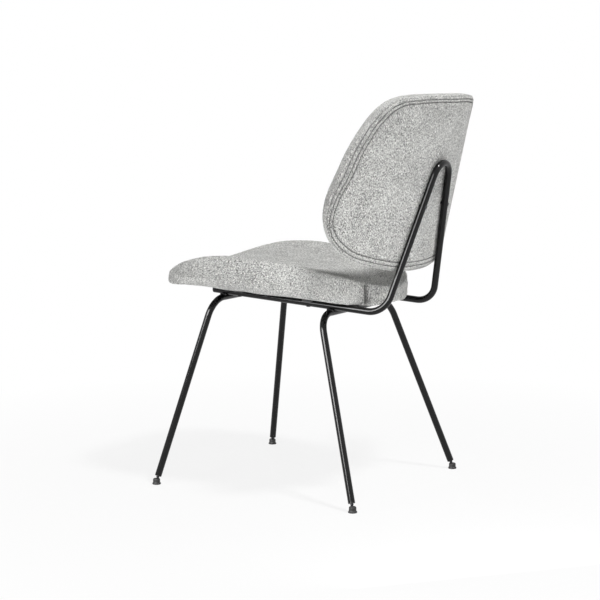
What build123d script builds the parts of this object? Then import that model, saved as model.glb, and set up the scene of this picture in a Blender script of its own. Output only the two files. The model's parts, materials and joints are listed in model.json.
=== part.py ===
import math
import os

from build123d import *

# Upholstered dining chair on a bent steel tube frame. Millimetres and degrees.
# Origin on the floor under the middle of the chair: +X to the sitter's left, front towards -Y, +Z up.

# Steel tube, the same all through
tube_od = 14.0
tube_wall = 1.6

# Back frame: two seat rails that turn up into the uprights of an inverted V
rail_span = 211.0           # between the rails' centre lines
rail_height = 389.9         # of the rails' centre lines, over the middle of the chair
rail_slope = 3.31           # the rails fall towards the rear
rail_front_y = -190.0
rail_corner_y = 212.4       # where rail and upright would meet without their bend
rail_bend_r = 45.0
apex_y = 311.5              # where the uprights would meet without their bend
apex_z = 765.7
apex_bend_r = 33.0

# Leg frames: two hoops under the rails
front_bar_y = -169.8
rear_bar_y = 87.9
front_bar_span = 284.0      # between the corners of the front hoop
rear_bar_span = 283.0
leg_bend_r = 45.0
front_foot_span = 454.0     # between the front ball centres
rear_foot_span = 439.0
front_foot_y = -258.7
rear_foot_y = 206.3

# Tilting feet: a plug in the leg, a ball stud and a pad
ball_height = 7.0
ball_r = 4.5
ball_clearance = 0.12
stud_neck_r = 2.0
stud_collar_r = 3.25
stud_collar_start = 7.6     # along the leg, from the ball's centre
stud_shank_r = 2.5
plug_start = 11.0
plug_rim = 1.2
plug_depth = 20.0
plug_rim_r = 6.8
stud_depth = 15.0
pad_r = 9.0
pad_rim = 2.6
pad_waist_r = 7.4
pad_height = 12.0
pad_mouth_r = 5.4
pad_lip = 2.5               # height of the socket's lip over the ball's centre

# Seat: moulded shell, cushion and underside lining
seat_width = 416.0
seat_front = 225.0          # nose, ahead of the widest place
seat_rear = 271.0           # rear edge, behind the widest place
seat_widest_y = -88.0       # along the rails
seat_crest = 76.5           # raised sides, over the underside
seat_dish = 58.0            # middle of the seat, over the underside
seat_shell_thick = 9.0
seat_cover = 1.5            # cover under the shell's edge
lining_thick = 1.5
lining_front_width = 256.0
lining_rear_width = 176.0
lining_front_y = -190.0
lining_rear_y = 105.0
lining_corner_r = 20.0

# Saddles between the rails and the seat, each with its screw and nut
saddle_gap = 4.0            # from the rail's top to the seat's underside
saddle_length = 26.0
saddle_width = 17.0
saddle_wrap = 5.0           # how far the saddle reaches down the tube
front_saddle_y = -128.0
rear_saddle_y = 38.0
screw_r = 3.0
screw_clearance = 0.25
seat_screw_head_r = 4.6
seat_screw_head = 0.7
nut_flange_r = 9.0
nut_flange = 1.4
nut_barrel_r = 4.0

# Back: rear panel, moulded shell and front pad, bent round the sitter
back_radius = 419.0         # of the rear face
back_lean = 12.57
back_gap = 0.5              # from the uprights to the rear face
back_half_angle = 38.05
back_top = 135.0            # along the lean, from the frame's apex
back_bottom = 224.5
back_thick = 32.0
back_shell_thick = 9.0
panel_thick = 5.0
seam_side = 3.1             # degrees, from the edge to the rear panel's seam
seam_top = 14.5
seam_bottom = 24.0
pad_front_r = 13.0
pad_rear_r = 4.0
glue_gap = 0.3
back_screw_z = 588.0
back_screw_head_r = 3.8
back_screw_head = 0.9
insert_r = 4.6

# Fits
press_gap = 0.05
hole_gap = 0.3

# Outline of the back, as shares of its half angle and of its height over or under the apex
back_shape = [(0.0, 1.0), (0.428, 0.967), (0.6415, 0.878), (0.762, 0.674), (0.888, 0.207), (0.9595, -0.166),
              (1.0, -0.444), (0.968, -0.659), (0.828, -0.846), (0.557, -0.946), (0.0, -1.0)]

# Stations along the seat: share of its front or rear length, underside, raised side and middle, and the
# flat part of the underside, as shares of the seat's raised side, of its middle and of its half width.
seat_stations = [(-0.9955, 0.0, 0.19, 0.235, 0.88), (-0.973, 0.0, 0.25, 0.315, 0.9), (-0.92, 0.0, 0.325, 0.405, 0.9),
                 (-0.83, 0.0, 0.42, 0.525, 0.9), (-0.696, 0.0, 0.6, 0.69, 0.87), (-0.536, 0.0, 0.79, 0.83, 0.76),
                 (-0.3125, 0.0, 0.95, 0.94, 0.68), (0.0, 0.0, 0.985, 1.0, 0.64), (0.294, 0.0, 0.97, 0.99, 0.635),
                 (0.533, 0.0, 0.9, 0.92, 0.68), (0.717, 0.0, 0.78, 0.82, 0.8), (0.846, 0.0, 0.645, 0.73, 0.84),
                 (0.93, 0.0, 0.535, 0.65, 0.81), (0.978, 0.03, 0.46, 0.575, 0.76), (0.9963, 0.08, 0.38, 0.475, 0.7)]
seat_shell_stations = [-0.79, -0.536, -0.3125, 0.0, 0.294, 0.533, 0.717, 0.8]
seat_front_power = 3.0
seat_rear_power = 2.15
seat_widest_share = 0.42    # height of the widest place
lower_turn = 30.0           # turn of the underside's large arc
upper_turn = 25.0           # turn of the side's large arc
crest_share = 0.3           # radius of the crest, of the height over the widest place
shell_turn = 27.0

os.makedirs("parts", exist_ok=True)


def save(piece, name):
    piece.part.label = name
    export_step(piece.part, "parts/" + name + ".step")


def rail_z(y):
    return rail_height - y * math.tan(math.radians(rail_slope))


def swept(points, radii, outer, inner=0.0):
    with BuildPart() as tube:
        with BuildLine() as path:
            FilletPolyline(*points, radius=radii)
        wire = path.wire()
        with BuildSketch(Plane(origin=wire @ 0, z_dir=wire % 0)):
            Circle(outer)
            if inner > 0:
                Circle(inner, mode=Mode.SUBTRACT)
        sweep(path=wire)
    return tube


def drilled(tube, plane, radius):
    with BuildPart() as piece:
        add(tube.part)
        for hole in plane:
            with BuildSketch(hole):
                Circle(radius)
            extrude(amount=tube_od, both=True, mode=Mode.SUBTRACT)
    return piece


slope = math.radians(rail_slope)
lean = math.radians(back_lean)
tube_r = tube_od / 2
bore_r = tube_r - tube_wall
rail_x = rail_span / 2
rail_dir = Vector(0, math.cos(slope), -math.sin(slope))
rail_up = Vector(0, math.sin(slope), math.cos(slope))
left = Vector(1, 0, 0)


def seat_point(x, along, high):
    base = Vector(x, 0, rail_height)
    return base + rail_dir * along + rail_up * high


# Back frame
frame_points = [(rail_x, rail_front_y, rail_z(rail_front_y)), (rail_x, rail_corner_y, rail_z(rail_corner_y)),
                (0, apex_y, apex_z), (-rail_x, rail_corner_y, rail_z(rail_corner_y)),
                (-rail_x, rail_front_y, rail_z(rail_front_y))]
frame_radii = [rail_bend_r, apex_bend_r, rail_bend_r]
frame_tube = swept(frame_points, frame_radii, tube_r, bore_r)
frame_rod = swept(frame_points, frame_radii, tube_r)

saddle_places = [(side * rail_x, y) for side in (1, -1) for y in (front_saddle_y, rear_saddle_y)]
seat_screw_planes = [Plane(origin=seat_point(x, y, 0), x_dir=left, z_dir=rail_up) for x, y in saddle_places]

# The back's own frame: its origin lies on the rear face, in front of the bend at the top of the V
corner = Vector(rail_x, rail_corner_y, rail_z(rail_corner_y))
apex = Vector(0, apex_y, apex_z)
upright = (apex - corner).normalized()
half_turn = math.asin(abs(upright.X))
top_drop = apex_bend_r / math.sin(half_turn) - apex_bend_r
bisector = Vector(0, upright.Y, upright.Z).normalized()
bend_top = apex - bisector * top_drop
back_up = Vector(0, math.sin(lean), math.cos(lean))
back_rear = Vector(0, math.cos(lean), -math.sin(lean))
back_origin = bend_top - back_rear * (tube_r + back_gap)
back_axis = back_origin - back_rear * back_radius


def back_normal(point):
    out = point - back_axis
    out = out - back_up * out.dot(back_up)
    return out.normalized()


screw_share = (back_screw_z - corner.Z) / (apex.Z - corner.Z)
screw_on_left = corner + (apex - corner) * screw_share
screw_on_right = Vector(-screw_on_left.X, screw_on_left.Y, screw_on_left.Z)
back_screw_planes = [Plane(origin=p, z_dir=back_normal(p)) for p in (screw_on_left, screw_on_right)]

back_frame = drilled(frame_tube, seat_screw_planes + back_screw_planes, screw_r + screw_clearance)
save(back_frame, "back_frame")

# Plugs in the front ends of the rails
for side, name in ((1, "left"), (-1, "right")):
    end = Vector(side * rail_x, rail_front_y, rail_z(rail_front_y))
    with BuildPart() as rail_plug:
        with BuildSketch(Plane(origin=end, x_dir=left, z_dir=rail_dir)):
            Circle(bore_r - press_gap)
        extrude(amount=plug_depth)
        with BuildSketch(Plane(origin=end, x_dir=left, z_dir=-rail_dir)):
            Circle(tube_r)
        extrude(amount=tube_wall * 2)
        fillet(rail_plug.faces().sort_by(Axis.Y)[0].edges(), tube_wall * 1.5)
    save(rail_plug, "rail_plug_" + name)


# Leg frames
def bar_z(y):
    return rail_z(y) - tube_od / math.cos(slope)


front_corner = Vector(front_bar_span / 2, front_bar_y, bar_z(front_bar_y))
rear_corner = Vector(rear_bar_span / 2, rear_bar_y, bar_z(rear_bar_y))
front_ball = Vector(front_foot_span / 2, front_foot_y, ball_height)
rear_ball = Vector(rear_foot_span / 2, rear_foot_y, ball_height)


def other_side(point):
    return Vector(-point.X, point.Y, point.Z)


rods = {}
for name, ball, bend in (("front", front_ball, front_corner), ("rear", rear_ball, rear_corner)):
    leg_end = ball + (bend - ball).normalized() * (plug_start + plug_rim)
    points = [leg_end, bend, other_side(bend), other_side(leg_end)]
    leg_frame = swept(points, [leg_bend_r, leg_bend_r], tube_r, bore_r)
    save(leg_frame, name + "_leg_frame")
    rods[name] = swept(points, [leg_bend_r, leg_bend_r], tube_r)

# Welds where the rails cross the hoops
with BuildPart() as frame_welds:
    for y in (front_bar_y, rear_bar_y):
        for side in (1, -1):
            middle = Vector(side * rail_x, y, rail_z(y)) - rail_up * tube_r
            with BuildSketch(Plane(origin=middle, x_dir=left, z_dir=rail_up)):
                Circle(tube_r * 0.9)
                Circle(tube_r * 0.3, mode=Mode.SUBTRACT)
            extrude(amount=tube_r, both=True)
    add(frame_rod.part, mode=Mode.SUBTRACT)
    add(rods["front"].part, mode=Mode.SUBTRACT)
    add(rods["rear"].part, mode=Mode.SUBTRACT)
save(frame_welds, "frame_welds")


# Feet
def foot(ball, bend, name):
    axis = (bend - ball).normalized()
    across = Vector(axis.Y, -axis.X, 0).normalized()
    leg_plane = Plane(origin=ball, x_dir=across, z_dir=across.cross(axis))
    neck_start = math.sqrt(ball_r ** 2 - stud_neck_r ** 2)
    shank_end = plug_start + stud_depth

    with BuildPart() as stud:
        with BuildSketch(leg_plane):
            with BuildLine():
                ThreePointArc((0, -ball_r), (ball_r, 0), (stud_neck_r, neck_start))
                Polyline((stud_neck_r, neck_start), (stud_neck_r, stud_collar_start - 1.2),
                         (stud_collar_r, stud_collar_start), (stud_collar_r, plug_start),
                         (stud_shank_r, plug_start), (stud_shank_r, shank_end), (0, shank_end), (0, -ball_r))
            make_face()
        revolve(axis=Axis(ball, axis))
    save(stud, name + "_ball_stud")

    plug_end = plug_start + plug_rim + plug_depth
    with BuildPart() as plug:
        with BuildSketch(leg_plane):
            with BuildLine():
                Polyline((stud_shank_r + press_gap, plug_start), (plug_rim_r, plug_start),
                         (plug_rim_r, plug_start + plug_rim), (bore_r - press_gap, plug_start + plug_rim),
                         (bore_r - press_gap, plug_end), (0, plug_end), (0, shank_end + press_gap),
                         (stud_shank_r + press_gap, shank_end + press_gap), close=True)
            make_face()
        revolve(axis=Axis(ball, axis))
    save(plug, name + "_leg_plug")

    socket_r = ball_r + ball_clearance
    lip_r = math.sqrt(socket_r ** 2 - pad_lip ** 2)
    floor = Plane(origin=(ball.X, ball.Y, 0), x_dir=left, z_dir=(0, -1, 0))
    with BuildPart() as pad:
        with BuildSketch(floor):
            with BuildLine():
                Polyline((0, ball_height - socket_r), (0, 0), (pad_r - 0.4, 0), (pad_r, 0.4),
                         (pad_r - 0.3, pad_rim))
                ThreePointArc((pad_r - 0.3, pad_rim), (pad_waist_r + 0.4, pad_rim + 0.9),
                              (pad_waist_r, pad_rim + 2.0))
                Line((pad_waist_r, pad_rim + 2.0), (pad_waist_r - 0.1, pad_height - 2.0))
                ThreePointArc((pad_waist_r - 0.1, pad_height - 2.0), (pad_waist_r - 0.6, pad_height - 0.7),
                              (pad_mouth_r + 0.2, pad_height))
                Polyline((pad_mouth_r + 0.2, pad_height), (pad_mouth_r, pad_height),
                         (lip_r, ball_height + pad_lip))
                ThreePointArc((lip_r, ball_height + pad_lip), (socket_r, ball_height),
                              (0, ball_height - socket_r))
            make_face()
        revolve(axis=Axis((ball.X, ball.Y, 0), (0, 0, 1)))
    save(pad, name + "_foot_pad")


foot(front_ball, front_corner, "front_left")
foot(other_side(front_ball), other_side(front_corner), "front_right")
foot(rear_ball, rear_corner, "rear_left")
foot(other_side(rear_ball), other_side(rear_corner), "rear_right")

# Seat
underside = tube_r + saddle_gap


def half_width(share):
    power = seat_front_power if share < 0 else seat_rear_power
    return seat_width / 2 * (1 - abs(share) ** power) ** (1 / power)


def along_seat(share):
    return seat_widest_y + share * (seat_front if share < 0 else seat_rear)


def station(share):
    rows = sorted(seat_stations)
    for low, high in zip(rows, rows[1:]):
        if low[0] <= share <= high[0]:
            part = (share - low[0]) / (high[0] - low[0])
            return [a + (b - a) * part for a, b in zip(low, high)]


def section_plane(share, base):
    origin = seat_point(0, along_seat(share), underside + base)
    return Plane(origin=origin, x_dir=left, z_dir=-rail_dir)


def lower_arcs(wide, low, flat):
    # radii of the two arcs under the widest place
    turn = math.radians(lower_turn)
    run = wide - flat
    small = (low - run * (1 - math.cos(turn)) / math.sin(turn))
    small = small / (math.cos(turn) - (1 - math.sin(turn)) * (1 - math.cos(turn)) / math.sin(turn))
    large = (run - small * (1 - math.sin(turn))) / math.sin(turn)
    return large, small


def cushion_section(share):
    _, base, crest, middle, flat = station(share)
    base = base * seat_crest
    high = crest * seat_crest - base
    dish = high - (middle * seat_dish - base)
    wide = half_width(share)
    low = high * seat_widest_share
    flat = flat * wide
    large, small = lower_arcs(wide, low, flat)
    rise = high - low
    tip = crest_share * rise
    side = tip + (rise - tip) / math.sin(math.radians(upper_turn))
    crest_x = wide - side + (side - tip) * math.cos(math.radians(upper_turn))
    fall = 2 * math.degrees(math.atan(dish / crest_x))
    with BuildSketch(section_plane(share, base)) as section:
        with BuildLine():
            Line((0, 0), (flat, 0))
            under = JernArc((flat, 0), (1, 0), large, lower_turn)
            corner_arc = JernArc(under @ 1, under % 1, small, 90 - lower_turn)
            wall = JernArc(corner_arc @ 1, corner_arc % 1, side, upper_turn)
            top = JernArc(wall @ 1, wall % 1, tip, 90 - upper_turn + fall)
            JernArc(top @ 1, top % 1, (top @ 1).X / math.sin(math.radians(fall)), -fall)
            mirror(about=Plane.YZ)
        make_face()
    return section.sketch


def shell_section(share):
    _, base, crest, middle, flat = station(share)
    base = base * seat_crest
    low = (crest * seat_crest - base) * seat_widest_share
    flat = flat * half_width(share)
    large, small = lower_arcs(half_width(share), low, flat)
    inner = seat_cover + seat_shell_thick
    with BuildSketch(section_plane(share, base)) as section:
        with BuildLine():
            Line((0, seat_cover), (flat, seat_cover))
            outside = JernArc((flat, seat_cover), (1, 0), large - seat_cover, shell_turn)
            inside = JernArc((flat, inner), (1, 0), large - inner, shell_turn)
            Line(outside @ 1, inside @ 1)
            Line((flat, inner), (0, inner))
            mirror(about=Plane.YZ)
        make_face()
    return section.sketch


def nut_plane(x, y, high):
    return Plane(origin=seat_point(x, y, underside + high), x_dir=left, z_dir=rail_up)


shell_top = seat_cover + seat_shell_thick
nut_top = shell_top + hole_gap
with BuildPart() as seat_shell_blank:
    loft(sections=[shell_section(share) for share in seat_shell_stations])
    split(bisect_by=nut_plane(0, 0, seat_cover), keep=Keep.TOP)

with BuildPart() as seat_shell:
    add(seat_shell_blank.part)
    for x, y in saddle_places:
        with BuildSketch(nut_plane(x, y, 0)):
            Circle(nut_barrel_r + hole_gap)
        extrude(amount=shell_top * 2, mode=Mode.SUBTRACT)
save(seat_shell, "seat_shell")

with BuildPart() as lining_blank:
    with BuildSketch(Plane(origin=seat_point(0, 0, underside), x_dir=left, z_dir=rail_up)) as lining_outline:
        Polygon((-lining_front_width / 2, lining_front_y), (lining_front_width / 2, lining_front_y),
                (lining_rear_width / 2, lining_rear_y), (-lining_rear_width / 2, lining_rear_y), align=None)
        fillet(lining_outline.vertices(), lining_corner_r)
    extrude(amount=lining_thick)

with BuildPart() as seat_lining:
    add(lining_blank.part)
    for x, y in saddle_places:
        with BuildSketch(nut_plane(x, y, 0)):
            Circle(screw_r + screw_clearance)
        extrude(amount=lining_thick, mode=Mode.SUBTRACT)
save(seat_lining, "seat_lining")

with BuildPart() as seat_nuts:
    for x, y in saddle_places:
        with BuildSketch(nut_plane(x, y, seat_cover)):
            Circle(nut_barrel_r)
        extrude(amount=seat_shell_thick + hole_gap)
        with BuildSketch(nut_plane(x, y, nut_top)):
            Circle(nut_flange_r)
        extrude(amount=nut_flange)
        with BuildSketch(nut_plane(x, y, 0)):
            Circle(screw_r + press_gap)
        extrude(amount=nut_top + nut_flange, mode=Mode.SUBTRACT)
save(seat_nuts, "seat_tee_nuts")

with BuildPart() as seat_cushion:
    loft(sections=[cushion_section(row[0]) for row in seat_stations])
    split(bisect_by=nut_plane(0, 0, 0), keep=Keep.TOP)
    add(seat_shell_blank.part, mode=Mode.SUBTRACT)
    add(lining_blank.part, mode=Mode.SUBTRACT)
    for x, y in saddle_places:
        with BuildSketch(nut_plane(x, y, 0)):
            Circle(screw_r + screw_clearance)
        extrude(amount=nut_top, mode=Mode.SUBTRACT)
        with BuildSketch(nut_plane(x, y, shell_top / 2)):
            Circle(nut_flange_r + hole_gap)
        extrude(amount=nut_top + nut_flange + hole_gap - shell_top / 2, mode=Mode.SUBTRACT)
save(seat_cushion, "seat_cushion")

with BuildPart() as seat_screws:
    for x, y in saddle_places:
        with BuildSketch(Plane(origin=seat_point(x, y, -tube_r), x_dir=left, z_dir=rail_up)):
            Circle(screw_r)
        extrude(amount=tube_od + saddle_gap + shell_top)
        with BuildSketch(Plane(origin=seat_point(x, y, -tube_r), x_dir=left, z_dir=-rail_up)):
            Circle(seat_screw_head_r)
        extrude(amount=seat_screw_head, taper=14)
save(seat_screws, "seat_screws")

with BuildPart() as seat_saddles:
    for x, y in saddle_places:
        with BuildSketch(Plane(origin=seat_point(x, y, tube_r - saddle_wrap), x_dir=left, z_dir=rail_up)):
            RectangleRounded(saddle_width, saddle_length, saddle_width / 4)
        extrude(amount=saddle_wrap + saddle_gap)
        with BuildSketch(Plane(origin=seat_point(x, y - saddle_length, 0), x_dir=left, z_dir=rail_dir)):
            Circle(tube_r + press_gap)
        extrude(amount=saddle_length * 2, mode=Mode.SUBTRACT)
        with BuildSketch(Plane(origin=seat_point(x, y, 0), x_dir=left, z_dir=rail_up)):
            Circle(screw_r + screw_clearance)
        extrude(amount=tube_od, mode=Mode.SUBTRACT)
save(seat_saddles, "seat_saddles")


# Back
def back_points(angle, top, bottom, plane_radius):
    shape = []
    for across, high in back_shape:
        x = plane_radius * math.tan(math.radians(across * angle))
        shape.append((x, high * (top if high > 0 else bottom)))
    return shape


def bent_slab(outer, inner, angle, top, bottom):
    # a sheet bent round the back's axis, with its edge cut square to its own surface
    reach = math.radians(back_half_angle + 4)
    ahead = back_radius * (1 - math.cos(reach)) + back_thick * 2
    with BuildPart() as slab:
        section = Plane(origin=back_origin - back_up * (bottom + 10), x_dir=left, z_dir=back_up)
        with BuildSketch(section):
            with BuildLine():
                rim = []
                for radius in (outer, inner):
                    x = radius * math.sin(reach)
                    y = radius * math.cos(reach) - back_radius
                    ThreePointArc((-x, y), (0, radius - back_radius), (x, y))
                    rim.append((x, y))
                Line(rim[0], rim[1])
                Line((-rim[0][0], rim[0][1]), (-rim[1][0], rim[1][1]))
            make_face()
        extrude(amount=top + bottom + 20)
        for depth in (-10.0, ahead):
            with BuildSketch(Plane(origin=back_origin - back_rear * depth, x_dir=left, z_dir=-back_rear)):
                with BuildLine():
                    points = back_points(angle, top, bottom, back_radius - depth)
                    before = [(-points[1][0], points[1][1])] + points[:-1]
                    after = points[1:] + [(-points[-2][0], points[-2][1])]
                    heads = [(c[0] - a[0], c[1] - a[1]) for a, c in zip(before, after)]
                    for i in range(0, len(points) - 1, 2):
                        Spline(*points[i:i + 3], tangents=[heads[i], heads[i + 2]])
                    mirror(about=Plane.YZ)
                make_face()
        loft(ruled=True, mode=Mode.INTERSECT)
    return slab


panel_inner = back_radius - panel_thick
shell_outer = panel_inner - glue_gap
shell_inner = shell_outer - back_shell_thick
pad_inner = back_radius - back_thick
panel_blank = bent_slab(back_radius, panel_inner, back_half_angle - seam_side,
                        back_top - seam_top, back_bottom - seam_bottom)
back_shell_blank = bent_slab(shell_outer, shell_inner, back_half_angle - seam_side / 2,
                             back_top - seam_top / 2, back_bottom - seam_bottom / 2)
back_pad_blank = bent_slab(back_radius, pad_inner, back_half_angle, back_top, back_bottom)


def screw_discs(radius, start):
    with BuildSketch(*[plane.offset(start) for plane in back_screw_planes]) as discs:
        Circle(radius)
    return discs.sketch


insert_start = -tube_r - back_gap - panel_thick - glue_gap
screw_end = tube_od + back_gap + panel_thick + glue_gap + back_shell_thick

with BuildPart() as back_rear_panel:
    add(panel_blank.part)
    extrude(screw_discs(screw_r + screw_clearance, 0), amount=-screw_end, mode=Mode.SUBTRACT)
save(back_rear_panel, "back_rear_panel")

with BuildPart() as back_shell:
    add(back_shell_blank.part)
    extrude(screw_discs(insert_r + press_gap, 0), amount=-screw_end * 2, mode=Mode.SUBTRACT)
save(back_shell, "back_shell")

with BuildPart() as back_inserts:
    extrude(screw_discs(insert_r, insert_start - 0.5), amount=1.0 - back_shell_thick)
    extrude(screw_discs(screw_r + press_gap, 0), amount=-screw_end * 2, mode=Mode.SUBTRACT)
save(back_inserts, "back_inserts")

with BuildPart() as back_screws:
    extrude(screw_discs(screw_r, tube_r), amount=-screw_end)
    extrude(screw_discs(back_screw_head_r, tube_r), amount=back_screw_head, taper=18)
save(back_screws, "back_screws")

with BuildPart() as back_front_pad:
    add(back_pad_blank.part)
    add(panel_blank.part, mode=Mode.SUBTRACT)
    add(back_shell_blank.part, mode=Mode.SUBTRACT)
    extrude(screw_discs(screw_r + screw_clearance, 0), amount=-screw_end - hole_gap, mode=Mode.SUBTRACT)
    for radius, rounding in ((pad_inner, pad_front_r), (back_radius, pad_rear_r)):
        bent = back_front_pad.faces().filter_by(GeomType.CYLINDER).sort_by(lambda face: abs(face.radius - radius))
        fillet(bent[0].outer_wire().edges(), rounding)
save(back_front_pad, "back_front_pad")
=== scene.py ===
import json
import math

import bmesh
import bpy
import numpy as np
from mathutils import Matrix, Vector, kdtree
from mathutils.bvhtree import BVHTree


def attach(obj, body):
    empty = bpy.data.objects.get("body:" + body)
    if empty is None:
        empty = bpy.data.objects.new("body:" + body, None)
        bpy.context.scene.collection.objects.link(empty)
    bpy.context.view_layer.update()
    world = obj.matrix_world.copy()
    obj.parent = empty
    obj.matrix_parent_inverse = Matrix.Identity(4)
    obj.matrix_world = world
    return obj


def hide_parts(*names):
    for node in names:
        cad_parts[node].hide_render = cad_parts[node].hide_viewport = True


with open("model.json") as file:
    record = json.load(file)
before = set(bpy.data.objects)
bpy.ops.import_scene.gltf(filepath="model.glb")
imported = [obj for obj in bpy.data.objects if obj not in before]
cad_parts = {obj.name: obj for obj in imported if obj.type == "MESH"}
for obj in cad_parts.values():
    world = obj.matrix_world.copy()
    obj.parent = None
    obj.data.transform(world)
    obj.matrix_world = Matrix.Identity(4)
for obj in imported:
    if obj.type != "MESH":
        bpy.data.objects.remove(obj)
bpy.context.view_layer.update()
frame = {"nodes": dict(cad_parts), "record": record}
nodes = frame["nodes"]
scene = bpy.context.scene
scene.view_settings.view_transform = "Standard"
print("frame loaded,", len(nodes), "nodes")


def linear(code):  # sRGB hex to linear
    parts = [int(code[i:i + 2], 16) / 255 for i in (1, 3, 5)]
    return tuple(c / 12.92 if c <= 0.04045 else ((c + 0.055) / 1.055) ** 2.4 for c in parts) + (1.0,)


def addNode(tree, kind, inputs=(), **settings):  # inputs are values or the sockets that feed them
    node = tree.nodes.new(kind)
    for name, value in settings.items():
        setattr(node, name, value)
    for socket, value in dict(inputs).items():
        if isinstance(value, bpy.types.NodeSocket):
            tree.links.new(value, node.inputs[socket])
        else:
            node.inputs[socket].default_value = value
    return node


def newMaterial(name):
    material = bpy.data.materials.new(name)
    material.use_nodes = True
    material.node_tree.nodes.clear()
    return material, material.node_tree


def setRamp(node, stops):
    ramp = node.color_ramp
    while len(ramp.elements) < len(stops):
        ramp.elements.new(0.5)
    for element, (place, code) in zip(ramp.elements, stops):
        element.position = place
        element.color = linear(code)


def endFinish(tree, look, colour, height, inputs):  # the relief, shader and output that a finish ends with
    relief = addNode(tree, "ShaderNodeBump", {"Strength": look["bump"], "Distance": look["relief"],
                                              "Height": height})
    shader = addNode(tree, "ShaderNodeBsdfPrincipled", {"Base Color": colour, "Normal": relief.outputs[0],
                                                        "Roughness": look["roughness"], **inputs})
    addNode(tree, "ShaderNodeOutputMaterial", {"Surface": shader.outputs[0]})


# In the finishes below, sizes of patterns are in millimetres and the depth of a relief in metres.

# Wool and viscose, plain weave: pale and grey fibres spun into one yarn give a salt and pepper grain.
# The yarns are 1.1 mm apart, the flecks run along them for about three times that, and the dye drifts.
# The shade colour is painted shade, laid into the seam and dart creases.
wool = {"yarn": 1.1, "stretch": 3.2, "cloud": 45.45, "drift": 0.12, "paintedShade": "#4b4b4a",
        "colours": [(0.41, "#5a5a59"), (0.56, "#c0c0be"), (0.71, "#f6f6f2")],
        "roughness": 0.92, "ior": 1.45, "specular": 0.2, "sheen": 0.1, "sheenRoughness": 0.5,
        "bump": 0.4, "relief": 0.0006}


def wovenWool():
    material, tree = newMaterial("wool_melange")
    place = addNode(tree, "ShaderNodeTexCoord")
    fine, long = 1000 / wool["yarn"], 1000 / wool["yarn"] / wool["stretch"]
    flecks = []
    for scale in ((fine, long, fine), (fine, fine, long)):  # yarn lying from front to rear, and hanging
        mapped = addNode(tree, "ShaderNodeMapping", {"Vector": place.outputs["Object"], "Scale": scale})
        flecks.append(addNode(tree, "ShaderNodeTexNoise", {"Vector": mapped.outputs[0], "Scale": 1.0,
                                                           "Detail": 1.0, "Roughness": 0.6}))
    hangs = addNode(tree, "ShaderNodeAttribute", attribute_name="yarnHangs")
    grain = addNode(tree, "ShaderNodeMix", {0: hangs.outputs["Fac"], 2: flecks[0].outputs[0],
                                            3: flecks[1].outputs[0]}, data_type="FLOAT")
    clouds = addNode(tree, "ShaderNodeTexNoise", {"Vector": place.outputs["Object"],
                                                  "Scale": 1000 / wool["cloud"], "Detail": 2.0})
    dyed = addNode(tree, "ShaderNodeMath", {0: clouds.outputs[0], 1: wool["drift"], 2: grain.outputs[0]},
                   operation="MULTIPLY_ADD")
    ramp = addNode(tree, "ShaderNodeValToRGB", {0: dyed.outputs[0]})
    setRamp(ramp, wool["colours"])
    # Painted shade: seams and darts are darkened towards the shade colour, where their creases fall in
    # shadow.
    seam = addNode(tree, "ShaderNodeAttribute", attribute_name="paintedSeamShade")
    tone = addNode(tree, "ShaderNodeMix", {0: seam.outputs["Fac"], 6: ramp.outputs[0],
                                           7: linear(wool["paintedShade"])}, data_type="RGBA")
    endFinish(tree, wool, tone.outputs[2], grain.outputs[0], {
        "IOR": wool["ior"], "Specular IOR Level": wool["specular"], "Sheen Weight": wool["sheen"],
        "Sheen Roughness": wool["sheenRoughness"]})
    return material


# Polyester powder coat, baked on steel: satin black with a faint orange peel about 1.5 mm wide.
coat = {"colours": [(0.35, "#0a0a0b"), (0.8, "#121213")], "peel": 1.5, "patch": 25.0,
        "roughness": 0.1, "dulling": 0.06, "ior": 1.5, "specular": 0.26, "bump": 0.06, "relief": 0.0003}


def powderCoat():
    material, tree = newMaterial("powder_coat_black")
    place = addNode(tree, "ShaderNodeTexCoord")
    peel = addNode(tree, "ShaderNodeTexNoise", {"Vector": place.outputs["Object"],
                                                "Scale": 1000 / coat["peel"], "Detail": 1.0})
    patches = addNode(tree, "ShaderNodeTexNoise", {"Vector": place.outputs["Object"],
                                                   "Scale": 1000 / coat["patch"], "Detail": 3.0})
    ramp = addNode(tree, "ShaderNodeValToRGB", {0: patches.outputs[0]})
    setRamp(ramp, coat["colours"])
    rough = addNode(tree, "ShaderNodeMath", {0: patches.outputs[0], 1: coat["dulling"], 2: coat["roughness"]},
                    operation="MULTIPLY_ADD")
    endFinish(tree, coat, ramp.outputs[0], peel.outputs[0], {
        "Roughness": rough.outputs[0], "IOR": coat["ior"], "Specular IOR Level": coat["specular"]})
    return material


# Polyamide, injection moulded: black, with a fine spark-eroded grain about 0.6 mm wide and wider scuffs.
plastic = {"colours": [(0.45, "#141414"), (0.85, "#2b2b2b")], "grain": 0.6, "scuff": 6.25,
           "roughness": 0.52, "ior": 1.53, "bump": 0.2, "relief": 0.0002}


def mouldedNylon():
    material, tree = newMaterial("nylon_black")
    place = addNode(tree, "ShaderNodeTexCoord")
    grain = addNode(tree, "ShaderNodeTexNoise", {"Vector": place.outputs["Object"],
                                                 "Scale": 1000 / plastic["grain"], "Detail": 2.0})
    scuffs = addNode(tree, "ShaderNodeTexNoise", {"Vector": place.outputs["Object"],
                                                  "Scale": 1000 / plastic["scuff"], "Detail": 4.0})
    ramp = addNode(tree, "ShaderNodeValToRGB", {0: scuffs.outputs[0]})
    setRamp(ramp, plastic["colours"])
    endFinish(tree, plastic, ramp.outputs[0], grain.outputs[0], {"IOR": plastic["ior"]})
    return material


# Birch plywood, moulded under heat: pale veneer with grain lines 3 mm apart that run from front to rear.
ply = {"colours": [(0.3, "#b58e5f"), (0.7, "#d9bd93")], "grain": 3.0, "run": 40.0, "wander": 0.4,
       "roughness": 0.6, "ior": 1.5, "bump": 0.15, "relief": 0.0003}


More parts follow.
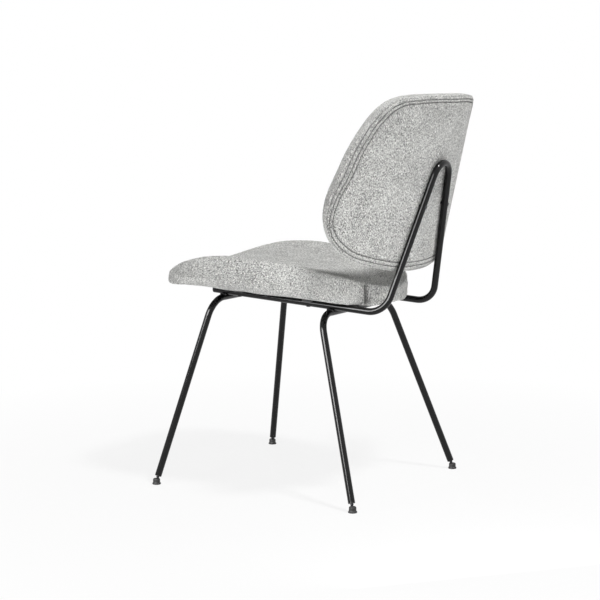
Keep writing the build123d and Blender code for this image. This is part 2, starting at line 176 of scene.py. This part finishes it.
def mouldedBirch():
    material, tree = newMaterial("birch_plywood")
    place = addNode(tree, "ShaderNodeTexCoord")
    across, along = 1000 / ply["grain"], 1000 / ply["run"]
    mapped = addNode(tree, "ShaderNodeMapping", {"Vector": place.outputs["Object"],
                                                 "Scale": (across, along, across)})
    grain = addNode(tree, "ShaderNodeTexNoise", {"Vector": mapped.outputs[0], "Scale": 1.0, "Detail": 4.0,
                                                 "Distortion": ply["wander"]})
    ramp = addNode(tree, "ShaderNodeValToRGB", {0: grain.outputs[0]})
    setRamp(ramp, ply["colours"])
    endFinish(tree, ply, ramp.outputs[0], grain.outputs[0], {"IOR": ply["ior"]})
    return material


# Zinc-plated steel, turned: cool grey with a slight blue, in a fine grain about 0.5 mm wide.
zinc = {"colours": [(0.3, "#9a9ea3"), (0.7, "#b9bcc0")], "grain": 0.5,
        "roughness": 0.34, "bump": 0.1, "relief": 0.0001}


def zincPlate():
    material, tree = newMaterial("zinc_plated_steel")
    place = addNode(tree, "ShaderNodeTexCoord")
    grain = addNode(tree, "ShaderNodeTexNoise", {"Vector": place.outputs["Object"],
                                                 "Scale": 1000 / zinc["grain"], "Detail": 2.0})
    ramp = addNode(tree, "ShaderNodeValToRGB", {0: grain.outputs[0]})
    setRamp(ramp, zinc["colours"])
    endFinish(tree, zinc, ramp.outputs[0], grain.outputs[0], {"Metallic": 1.0})
    return material


# Black-oxide steel, machined: a dark metal with a thin oiled skin, in a fine grain about 0.4 mm wide.
oxide = {"colours": [(0.4, "#2a2a2c"), (0.75, "#4a4a4c")], "grain": 0.4,
         "roughness": 0.42, "bump": 0.1, "relief": 0.0001}


def blackOxide():
    material, tree = newMaterial("black_oxide_steel")
    place = addNode(tree, "ShaderNodeTexCoord")
    grain = addNode(tree, "ShaderNodeTexNoise", {"Vector": place.outputs["Object"],
                                                 "Scale": 1000 / oxide["grain"], "Detail": 2.0})
    ramp = addNode(tree, "ShaderNodeValToRGB", {0: grain.outputs[0]})
    setRamp(ramp, oxide["colours"])
    endFinish(tree, oxide, ramp.outputs[0], grain.outputs[0], {"Metallic": 1.0})
    return material


# Spun-bonded polypropylene: the black cloth under seats, with a grid of pressed dots 2.5 mm apart.
lining = {"colours": [(0.15, "#0b0b0b"), (0.35, "#161617")], "pitch": 2.5,
          "roughness": 0.85, "ior": 1.49, "bump": 0.3, "relief": 0.0003}


def spunLining():
    material, tree = newMaterial("spunbond_black")
    place = addNode(tree, "ShaderNodeTexCoord")
    dots = addNode(tree, "ShaderNodeTexVoronoi", {"Vector": place.outputs["Object"],
                                                  "Scale": 1000 / lining["pitch"], "Randomness": 0.0})
    ramp = addNode(tree, "ShaderNodeValToRGB", {0: dots.outputs["Distance"]})
    setRamp(ramp, lining["colours"])
    endFinish(tree, lining, ramp.outputs[0], dots.outputs["Distance"], {"IOR": lining["ior"]})
    return material


# Bonded polyester thread, twisted: dark grey, lighter and darker about every 0.9 mm.
thread = {"colours": [(0.3, "#3a3a39"), (0.7, "#4c4c4b")], "twist": 0.9,
          "roughness": 0.7, "ior": 1.5, "sheen": 0.1}


def twistedThread():
    material, tree = newMaterial("polyester_thread")
    place = addNode(tree, "ShaderNodeTexCoord")
    twist = addNode(tree, "ShaderNodeTexNoise", {"Vector": place.outputs["Object"],
                                                 "Scale": 1000 / thread["twist"], "Detail": 1.0})
    ramp = addNode(tree, "ShaderNodeValToRGB", {0: twist.outputs[0]})
    setRamp(ramp, thread["colours"])
    shader = addNode(tree, "ShaderNodeBsdfPrincipled", {
        "Base Color": ramp.outputs[0], "Roughness": thread["roughness"], "IOR": thread["ior"],
        "Sheen Weight": thread["sheen"]})
    addNode(tree, "ShaderNodeOutputMaterial", {"Surface": shader.outputs[0]})
    return material


woolMaterial = wovenWool()
threadMaterial = twistedThread()
finishes = {"frame_black": powderCoat(), "screw_black": blackOxide(), "plastic_black": mouldedNylon(),
            "plywood": mouldedBirch(), "zinc_steel": zincPlate(), "lining_black": spunLining(),
            "wool_grey": woolMaterial}
for row in frame["record"]["subparts"]:
    node = nodes[row["node"]]
    node.data.materials.clear()
    node.data.materials.append(finishes[row["material_slot"]])
    node.data.shade_smooth()
print("finishes made:", len(finishes) + 1)


def keep(name, mesh, material):
    piece = bpy.data.objects.new(name, mesh)
    scene.collection.objects.link(piece)
    mesh.materials.clear()
    mesh.materials.append(material)
    mesh.shade_smooth()
    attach(piece, "chair")
    return piece


def baked(piece):  # the mesh with its modifiers
    bpy.context.view_layer.update()
    graph = bpy.context.evaluated_depsgraph_get()
    return bpy.data.meshes.new_from_object(piece.evaluated_get(graph))


def points(mesh):
    found = np.zeros(len(mesh.vertices) * 3)
    mesh.vertices.foreach_get("co", found)
    return found.reshape(-1, 3)


def normals(mesh):
    found = np.zeros(len(mesh.vertices) * 3)
    mesh.vertex_normals.foreach_get("vector", found)
    return found.reshape(-1, 3)


def setPoints(mesh, found):
    mesh.vertices.foreach_set("co", found.ravel())
    mesh.update()


def addLayer(mesh, name, values):
    layer = mesh.attributes.new(name, "FLOAT", "POINT")
    layer.data.foreach_set("value", np.asarray(values, np.float32))


def near(found, line):  # distance and place along a dense line of points, for each point
    tree = kdtree.KDTree(len(line))
    for i, p in enumerate(line):
        tree.insert(p, i)
    tree.balance()
    hits = [tree.find(p) for p in found]
    return np.array([h[2] for h in hits]), np.array([h[1] for h in hits])


def fade(values, start, end):  # 0 up to the start, 1 from the end on
    return np.clip((values - start) / (end - start), 0, 1)


def bell(away, width):  # 1 on the spot, almost nothing at twice the width
    return np.exp(-(away / width) ** 2)


# What both covers share, beside the sizes that each has below
cover = {"merge": 1e-6, "smoothing": 0.5, "leastHeld": 0.01, "quality": 6, "mass": 0.3, "shear": 5}


def filledFoam(name, plan):  # a cushion's solids remeshed to one closed skin, and a tree of the solids
    form = bmesh.new()
    for node in plan["from"]:
        form.from_mesh(nodes[node].data)
    bmesh.ops.remove_doubles(form, verts=form.verts, dist=cover["merge"])
    solids = BVHTree.FromBMesh(form)
    mesh = bpy.data.meshes.new(name)
    form.to_mesh(mesh)
    form.free()
    blank = bpy.data.objects.new(name, mesh)
    scene.collection.objects.link(blank)
    remesh = blank.modifiers.new("remesh", "REMESH")
    remesh.mode = "VOXEL"
    remesh.voxel_size = plan["voxel"]
    mesh = baked(blank)
    bpy.data.objects.remove(blank)
    form = bmesh.new()
    form.from_mesh(mesh)
    for i in range(plan["smooth"]):
        bmesh.ops.smooth_vert(form, verts=form.verts, factor=cover["smoothing"], use_axis_x=True,
                              use_axis_y=True, use_axis_z=True)
    form.to_mesh(mesh)
    form.free()
    return mesh, solids


def inflated(name, mesh, plan, sewn):  # the cover blown up by cloth; sewn is how firmly each point is held
    start, out = points(mesh), normals(mesh)
    puff = np.zeros(len(start))
    skin = bpy.data.objects.new(name, mesh.copy())
    scene.collection.objects.link(skin)
    held = skin.vertex_groups.new(name="sewn")
    for i in np.nonzero(sewn > cover["leastHeld"])[0]:
        held.add([int(i)], float(sewn[i]), "REPLACE")
    cloth = skin.modifiers.new("cloth", "CLOTH")
    cloth.settings.quality = cover["quality"]
    cloth.settings.mass = cover["mass"]
    cloth.settings.tension_stiffness = plan["stiff"]
    cloth.settings.compression_stiffness = plan["stiff"]
    cloth.settings.shear_stiffness = cover["shear"]
    cloth.settings.bending_stiffness = plan["bend"]
    cloth.settings.use_pressure = True
    cloth.settings.uniform_pressure_force = plan["pressure"]
    cloth.settings.effector_weights.gravity = 0
    cloth.settings.vertex_group_mass = "sewn"
    cloth.collision_settings.use_collision = False
    cloth.point_cache.frame_start = 1
    cloth.point_cache.frame_end = plan["frames"]
    for step in range(1, plan["frames"] + 1):
        scene.frame_set(step)
    moved = ((points(baked(skin)) - start) * out).sum(axis=1)
    print(name, "swells by", np.round(np.percentile(moved * 1000, (1, 50, 99)), 2), "mm")
    puff = np.clip(moved - plan["shrink"], -plan["shrink"], plan["cap"]) * (1 - sewn)
    bpy.data.objects.remove(skin)
    scene.frame_set(1)
    addLayer(mesh, "puff", puff)
    return mesh


def fitted(name, mesh, solids):  # made finer and laid on the solids, swollen by the puff
    piece = bpy.data.objects.new(name, mesh)
    scene.collection.objects.link(piece)
    finer = piece.modifiers.new("finer", "SUBSURF")
    finer.levels = 1
    finer.render_levels = 1
    mesh = baked(piece)
    bpy.data.objects.remove(piece)
    puff = np.zeros(len(mesh.vertices), np.float32)
    mesh.attributes["puff"].data.foreach_get("value", puff)
    setPoints(mesh, np.array([solids.find_nearest(p)[0] for p in points(mesh)]))
    setPoints(mesh, points(mesh) + normals(mesh) * puff[:, None])
    return mesh


def refined(mesh, lines, reach):  # smaller faces along the seams
    found = points(mesh)
    close = np.zeros(len(found), bool)
    for line in lines:
        close |= near(found, line)[0] < reach
    form = bmesh.new()
    form.from_mesh(mesh)
    form.verts.ensure_lookup_table()
    picked = [e for e in form.edges if close[e.verts[0].index] and close[e.verts[1].index]]
    bmesh.ops.subdivide_edges(form, edges=picked, cuts=1, use_grid_fill=True)
    bmesh.ops.triangulate(form, faces=[f for f in form.faces if len(f.verts) > 4])
    form.to_mesh(mesh)
    form.free()
    return mesh


# Back: one pad wrapped over its shell, with a sewn rear panel whose edge is stitched down twice.
# The rim is half the panel's outline, in shares of its half angle and of its height from the origin.
# A seam's sizes are its degrees inside the edge, high and low on the side, and metres from top and bottom.
back = {"from": ["back_front_pad", "back_rear_panel", "back_shell"], "voxel": 0.0052, "smooth": 2,
        "shrink": 0.0006, "pressure": 3.0, "stiff": 20, "bend": 2.0, "cap": 0.0012, "frames": 20,
        "radius": 0.419, "lean": 12.57, "origin": (0, 0.28029, 0.67377),
        "halfAngle": 38.05, "top": 0.135, "bottom": 0.2245,
        "rim": [(0.0, 1.0), (0.428, 0.967), (0.6415, 0.878), (0.762, 0.674), (0.888, 0.207), (0.9595, -0.166),
                (1.0, -0.444), (0.968, -0.659), (0.828, -0.846), (0.557, -0.946), (0.0, -1.0)],
        "innerSeam": (4.0, 1.5, 0.0145, 0.020), "middleSeam": (2.8, 0.65, 0.0085, 0.0115),
        "outerSeam": (1.4, -0.15, 0.002, 0.0035), "lowSide": -0.66, "highSide": -0.2, "seamSteps": 60,
        "sewnEdge": 0.0064, "sewnCore": 0.0024, "seamReach": 0.004,
        "seamDepth": 0.0015, "seamWidth": 0.0022, "shadeWidth": 0.0014, "paintedSeamShade": 0.6,
        "innerShare": 1.0, "middleShare": 0.85, "outerShare": 1.3, "ripple": 0.25, "ripplePace": 0.9,
        "stripRise": 0.0009, "stripEdge": 0.00992, "stripCore": 0.00372, "stripRound": 0.002,
        "shadeEaseFrom": 0.55, "shadeEaseTo": 0.9, "shadeEaseShare": 0.5}  # the lines are fainter along the top
backTilt = math.radians(back["lean"])
backUp = Vector((0, math.sin(backTilt), math.cos(backTilt)))
backRear = Vector((0, backUp.z, -backUp.y))


def rearPoint(angle, high):
    turn = math.radians(angle)
    out = (Vector((math.sin(turn), 0, 0)) + backRear * (math.cos(turn) - 1)) * back["radius"]
    return Vector(back["origin"]) + out + backUp * high


def smoothLoop(name, places):  # dense points along a smooth closed line
    curve = bpy.data.curves.new(name, "CURVE")
    curve.dimensions = "3D"
    spline = curve.splines.new("BEZIER")
    spline.bezier_points.add(len(places) - 1)
    for knot, place in zip(spline.bezier_points, places):
        knot.co = place
        knot.handle_left_type = "AUTO"
        knot.handle_right_type = "AUTO"
    spline.use_cyclic_u = True
    spline.resolution_u = back["seamSteps"]
    line = bpy.data.objects.new(name, curve)
    scene.collection.objects.link(line)
    mesh = baked(line)
    bpy.data.objects.remove(line)
    return [v.co.copy() for v in mesh.vertices]


def seamLoop(name, solids):  # a line inside the rim, laid on the solids
    high, low, top, bottom = back[name]
    half = []
    for across, rise in back["rim"]:
        side = np.interp(rise, (back["lowSide"], back["highSide"]), (low, high))
        reach = back["top"] - top if rise > 0 else back["bottom"] - bottom
        half.append((across * (back["halfAngle"] - side), rise * reach))
    loop = half + [(-a, h) for a, h in half[-2:0:-1]]
    return [solids.find_nearest(p)[0] for p in smoothLoop(name, [rearPoint(a, h) for a, h in loop])]


backMesh, backSolids = filledFoam("back_pad_cover", back)
innerLine, middleLine, outerLine = (seamLoop(name, backSolids)
                                    for name in ("innerSeam", "middleSeam", "outerSeam"))
found = points(backMesh)
backSewn = np.zeros(len(found))
for line in (innerLine, middleLine):
    backSewn = np.maximum(backSewn, fade(near(found, line)[0], back["sewnEdge"], back["sewnCore"]))
backMesh = inflated("back_pad_cover", backMesh, back, backSewn)
backMesh = fitted("back_pad_cover", backMesh, backSolids)
backMesh = refined(backMesh, (innerLine, middleLine, outerLine), back["seamReach"])
print("back inflated:", len(backMesh.vertices), "points")

found, facing = points(backMesh), normals(backMesh)
fromInner, fromMiddle = near(found, innerLine)[0], near(found, middleLine)[0]
strip = fade(fromInner + fromMiddle, back["stripEdge"], back["stripCore"])  # between the two stitched seams
rise = strip * np.minimum(1, np.minimum(fromInner, fromMiddle) / back["stripRound"]) * back["stripRise"]
# Painted shade: a dark band along each seam, where its groove falls in shadow.
paintedShade = np.zeros(len(found))
high = (found - np.array(back["origin"])) @ np.array(backUp) / back["top"]
# The painted seam shade is made fainter towards the top of the back.
shadeEase = 1 - back["shadeEaseShare"] * fade(high, back["shadeEaseFrom"], back["shadeEaseTo"])
for line, share in ((innerLine, back["innerShare"]), (middleLine, back["middleShare"]),
                    (outerLine, back["outerShare"])):
    away, place = near(found, line)
    ripple = 1 + back["ripple"] * np.sin(place * back["ripplePace"])
    rise -= bell(away, back["seamWidth"]) * share * ripple * back["seamDepth"]
    paintedShade = np.maximum(paintedShade, bell(away, back["shadeWidth"]) * share * shadeEase * back["paintedSeamShade"])
setPoints(backMesh, found + facing * rise[:, None])
addLayer(backMesh, "paintedSeamShade", paintedShade)
addLayer(backMesh, "yarnHangs", np.ones(len(found)))
backPad = keep("back_pad_cover", backMesh, woolMaterial)
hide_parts("back_front_pad", "back_rear_panel")
print("back seams pressed in")

# Topstitching: dark thread along the inner and the middle seam
stitch = {"pitch": 0.0046, "length": 0.0032, "thick": 0.0006, "proud": 0.0004, "sunk": 0.00036}


def evenly(line, pitch):  # places at an even pitch along a closed line
    loop = [Vector(p) for p in line] + [Vector(line[0])]
    lengths = [(b - a).length for a, b in zip(loop, loop[1:])]
    count = round(sum(lengths) / pitch)
    step = sum(lengths) / count
    places, at, i = [], 0.0, 0
    for n in range(count):
        while at + lengths[i] < n * step:
            at += lengths[i]
            i += 1
        places.append(loop[i].lerp(loop[i + 1], (n * step - at) / lengths[i]))
    return places


def stitchRow(name, line, skin):
    tree = BVHTree.FromObject(skin, bpy.context.evaluated_depsgraph_get())
    curve = bpy.data.curves.new(name, "CURVE")
    curve.dimensions = "3D"
    curve.bevel_depth = stitch["thick"]
    curve.bevel_resolution = 1
    curve.use_fill_caps = True
    spots = evenly(line, stitch["pitch"])
    for i, spot in enumerate(spots):
        ahead = (spots[(i + 1) % len(spots)] - spots[i - 1]).normalized()
        spline = curve.splines.new("POLY")
        spline.points.add(2)
        for knot, share in zip(spline.points, (-0.5, 0.0, 0.5)):  # its ends go into the cloth
            hit, normal = tree.find_nearest(spot + ahead * stitch["length"] * share)[:2]
            rise = stitch["proud"] if share == 0 else -stitch["sunk"]
            knot.co = tuple(hit + normal * rise) + (1.0,)
    row = bpy.data.objects.new(name, curve)
    scene.collection.objects.link(row)
    mesh = baked(row)
    bpy.data.objects.remove(row)
    return keep(name, mesh, threadMaterial)


bpy.context.view_layer.update()
stitchRow("inner_topstitch", innerLine, backPad)
stitchRow("middle_topstitch", middleLine, backPad)
print("topstitching done")

# Seat: foam over a moulded shell, with a short sewn dart at each rear corner.
# Its cover is not quite even: the front is pulled to one side, the nose droops and the rear edge sags.
# Heights are above the underside, along the seat's own up, and x is towards the sitter's left.
# A lift is a round rise at its x and y, and a dip deepens from the middle to its side.
seat = {"from": ["seat_cushion", "seat_shell"], "voxel": 0.005, "smooth": 2,
        "shrink": 0.0008, "pressure": 4.0, "stiff": 18, "bend": 2.0, "cap": 0.0015, "frames": 20,
        "base": (0, 0, 0.3899), "slope": 3.31, "underside": 0.011,
        "sewnLow": 0.004, "sewnHigh": 0.016,  # held fully below, free above
        "upperLow": 0.01, "upperHigh": 0.06,  # not pulled below, fully above
        "dart": [(0.0835, 0.159, 0.3925), (0.0869, 0.1623, 0.3998), (0.0882, 0.1634, 0.41),
                 (0.0888, 0.163, 0.4222), (0.0882, 0.1622, 0.4301), (0.0862, 0.1606, 0.4348)],
        "dartSteps": 20, "dartReach": 0.012, "dartDepth": 0.007, "dartWidth": 0.005,
        "shadeWidth": 0.0036, "paintedDartShade": 0.8,
        "pucker": 0.0008, "puckerReach": 0.02, "puckerStart": 0.005, "puckerPace": 420, "puckerSlant": 250,
        "lean": {"height": 0.0045, "side": 0.08, "y": -0.225, "length": 0.075},
        "liningBed": {"height": 0.0012, "near": 0.0025, "side": 0.088, "front": -0.185, "rear": 0.1},
        "sag": {"depth": 0.0055, "front": 0.085, "rear": 0.135, "height": 0.022,
                "railOuter": 0.112, "railInner": 0.082, "overRail": 0.5},  # less over the rails
        "lifts": [{"height": 0.004, "x": -0.125, "y": -0.24, "width": 0.05, "length": 0.035},
                  {"height": 0.002, "x": -0.03, "y": -0.24, "width": 0.04, "length": 0.035}],
        "dips": [{"depth": 0.0035, "side": -0.15, "y": -0.12, "length": 0.06},
                 {"depth": 0.0025, "side": 0.15, "y": -0.13, "length": 0.03}],
        "nose": {"depth": 0.0065, "rear": -0.225, "front": -0.285, "side": 0.15, "least": 0.2},
        "hangsFrom": 0.45, "hangsTo": 0.7}  # how far a face turns to front or rear before its yarn hangs
seatTilt = math.radians(seat["slope"])
railUp = np.array(Vector((0, math.sin(seatTilt), math.cos(seatTilt))))


def seatHeight(found):
    return (found - np.array(seat["base"])) @ railUp - seat["underside"]


seatMesh, seatSolids = filledFoam("seat_cover", seat)
seatSewn = fade(seatHeight(points(seatMesh)), seat["sewnHigh"], seat["sewnLow"])
seatMesh = inflated("seat_cover", seatMesh, seat, seatSewn)
seatMesh = fitted("seat_cover", seatMesh, seatSolids)
darts = []
for side in (1, -1):
    knots = [Vector((side * x, y, z)) for x, y, z in seat["dart"]]
    steps = [i / seat["dartSteps"] for i in range(seat["dartSteps"])]
    darts.append([a.lerp(b, step) for a, b in zip(knots, knots[1:]) for step in steps])
seatMesh = refined(seatMesh, darts, seat["dartReach"])
print("seat inflated:", len(seatMesh.vertices), "points")

found, facing = points(seatMesh), normals(seatMesh)
upper = fade(seatHeight(found), seat["upperLow"], seat["upperHigh"])
rise = np.zeros(len(found))
paintedShade = np.zeros(len(found))
for line in darts:
    away = near(found, line)[0]
    rise -= bell(away, seat["dartWidth"]) * seat["dartDepth"]
    folds = bell(away, seat["puckerReach"]) * (1 - bell(away, seat["puckerStart"]))
    rise += folds * np.sin(found[:, 2] * seat["puckerPace"] + away * seat["puckerSlant"]) * seat["pucker"]
    # Painted shade: each dart's crease is darkened, where it falls in shadow.
    paintedShade = np.maximum(paintedShade, bell(away, seat["shadeWidth"]) * seat["paintedDartShade"])
lean, bed, sag, nose = seat["lean"], seat["liningBed"], seat["sag"], seat["nose"]
sway = -np.tanh(found[:, 0] / lean["side"]) * bell(found[:, 1] - lean["y"], lean["length"])
found = found + facing * rise[:, None] + np.outer(upper * sway * lean["height"], railUp)

low = seatHeight(found)
across, along = np.abs(found[:, 0]), found[:, 1]
overLining = (across < bed["side"]) & (along > bed["front"]) & (along < bed["rear"])
flat = np.where(low < bed["near"], bed["height"] - low, 0)
found += np.outer(np.where(overLining, flat, np.where(low < 0, -low, 0)), railUp)

across, along = np.abs(found[:, 0]), found[:, 1]
droop = fade(along, sag["front"], sag["rear"]) * bell(np.maximum(low, 0), sag["height"])
droop *= np.maximum(fade(across, sag["railOuter"], sag["railInner"]), sag["overRail"])
found -= np.outer(droop * sag["depth"], railUp)

across, along = found[:, 0], found[:, 1]
drape = np.zeros(len(found))
for lift in seat["lifts"]:
    spot = bell(across - lift["x"], lift["width"]) * bell(along - lift["y"], lift["length"])
    drape += upper * spot * lift["height"]
for dip in seat["dips"]:
    drape -= upper * fade(across, 0, dip["side"]) * bell(along - dip["y"], dip["length"]) * dip["depth"]
pulled = np.maximum(fade(across, -nose["side"], nose["side"]), nose["least"])
drape -= fade(along, nose["rear"], nose["front"]) * pulled * nose["depth"]
found += np.outer(drape, railUp)
setPoints(seatMesh, found)
addLayer(seatMesh, "paintedSeamShade", paintedShade)
addLayer(seatMesh, "yarnHangs", fade(np.abs(facing[:, 1]), seat["hangsFrom"], seat["hangsTo"]))
seatPad = keep("seat_cover", seatMesh, woolMaterial)
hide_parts("seat_cushion")
print("seat darts sewn")

# Studio: white floor and backdrop, a firm light from high behind, soft ones from left, right, front and top,
# a card near the floor that lifts the seat's rear side, and a softbox that is only seen in the black tubes
studio = {"aim": (0, 0, 0.45),
          "lights": {"high": {"place": (0.37, 1.36, 3.08), "power": 67, "size": (0.4, 0.4)},
                     "left": {"place": (2.85, -1.0, 0.7), "power": 33, "size": (1.2, 0.8)},
                     "right": {"place": (-0.9, 2.7, 0.6), "power": 9, "size": (1.6, 0.8)},
                     "card": {"place": (0.45, 0.68, 0.1), "power": 2.0, "size": (0.6, 0.3),
                              "aim": (0.02, 0.18, 0.41)},
                     "front": {"place": (-1.8, -2.3, 1.0), "power": 22, "size": (1.6, 1.2)},
                     "top": {"place": (-0.6, -0.9, 3.0), "power": 4, "size": (2.0, 2.0)},
                     "box": {"place": (2.76, -0.6, 1.5), "power": 175, "size": (2.0, 1.4)}},
          "mirrored": ["high", "box"], "mirroredOnly": ["box"],  # the other lights would grey the tubes
          "ambient": 0.09, "shadow": 0.14, "shadowReach": (0.45, 1.3),
          "floorSize": 40, "floorDrop": 0.0004, "paint": "#f4f4f4", "white": "#ffffff"}
for name, plan in studio["lights"].items():
    lamp = bpy.data.lights.new(name + "_light", "AREA")
    lamp.energy = plan["power"]
    lamp.shape = "RECTANGLE"
    lamp.size, lamp.size_y = plan["size"]
    light = bpy.data.objects.new(name + "_light", lamp)
    scene.collection.objects.link(light)
    light.location = plan["place"]
    ahead = Vector(plan.get("aim", studio["aim"])) - light.location
    light.rotation_euler = ahead.to_track_quat("-Z", "Y").to_euler()
    light.visible_glossy = name in studio["mirrored"]
    light.visible_diffuse = name not in studio["mirroredOnly"]


def seenPlainly(tree):  # 1 for rays from the camera, from a glossy surface or through a clear one
    path = addNode(tree, "ShaderNodeLightPath")
    seen = path.outputs["Is Camera Ray"]
    for kind in ("Is Glossy Ray", "Is Transmission Ray"):
        either = addNode(tree, "ShaderNodeMath", {0: seen, 1: path.outputs[kind]}, operation="MAXIMUM")
        seen = either.outputs[0]
    return seen


world = bpy.data.worlds.new("studio")
scene.world = world
world.use_nodes = True
tree = world.node_tree
tree.nodes.clear()
paper = linear(studio["white"])
soft = addNode(tree, "ShaderNodeBackground", {"Color": paper, "Strength": studio["ambient"]})
white = addNode(tree, "ShaderNodeBackground", {"Color": paper, "Strength": 1.0})
backdrop = addNode(tree, "ShaderNodeMixShader", {0: seenPlainly(tree), 1: soft.outputs[0],
                                                 2: white.outputs[0]})
addNode(tree, "ShaderNodeOutputWorld", {"Surface": backdrop.outputs[0]})

form = bmesh.new()
bmesh.ops.create_grid(form, x_segments=1, y_segments=1, size=studio["floorSize"])
floorMesh = bpy.data.meshes.new("floor")
form.to_mesh(floorMesh)
form.free()
floor = bpy.data.objects.new("floor", floorMesh)
scene.collection.objects.link(floor)
floor.location.z = -studio["floorDrop"]
material, tree = newMaterial("painted_floor")
place = addNode(tree, "ShaderNodeTexCoord")
away = addNode(tree, "ShaderNodeVectorMath", {0: place.outputs["Object"]}, operation="LENGTH")
shadowNear, shadowFar = studio["shadowReach"]
clean = addNode(tree, "ShaderNodeMapRange", {0: away.outputs["Value"], 1: shadowNear, 2: shadowFar,
                                             3: 1 - studio["shadow"], 4: 1.0})
share = addNode(tree, "ShaderNodeMath", {0: seenPlainly(tree), 1: clean.outputs[0]}, operation="MULTIPLY")
paint = addNode(tree, "ShaderNodeBsdfDiffuse", {"Color": linear(studio["paint"])})
bright = addNode(tree, "ShaderNodeEmission", {"Color": paper, "Strength": 1.0})
painted = addNode(tree, "ShaderNodeMixShader", {0: share.outputs[0], 1: paint.outputs[0],
                                                2: bright.outputs[0]})
addNode(tree, "ShaderNodeOutputMaterial", {"Surface": painted.outputs[0]})
floorMesh.materials.append(material)

# Camera, fitted to the straight tubes
lens = {"place": (3.03035, 1.79097, 0.84614), "ahead": (-0.84766, -0.51395, -0.13161),
        "up": (-0.11285, -0.06772, 0.99130), "length": 101.874, "sensor": 36, "farthest": 100}
camera = bpy.data.objects.new("camera", bpy.data.cameras.new("camera"))
scene.collection.objects.link(camera)
ahead, up = Vector(lens["ahead"]).normalized(), Vector(lens["up"]).normalized()
right = ahead.cross(up).normalized()
up = right.cross(ahead)
camera.matrix_world = Matrix.Translation(lens["place"]) @ Matrix((right, up, -ahead)).transposed().to_4x4()
camera.data.lens = lens["length"]
camera.data.sensor_width = lens["sensor"]
camera.data.clip_end = lens["farthest"]
scene.camera = camera
print("studio and camera set")
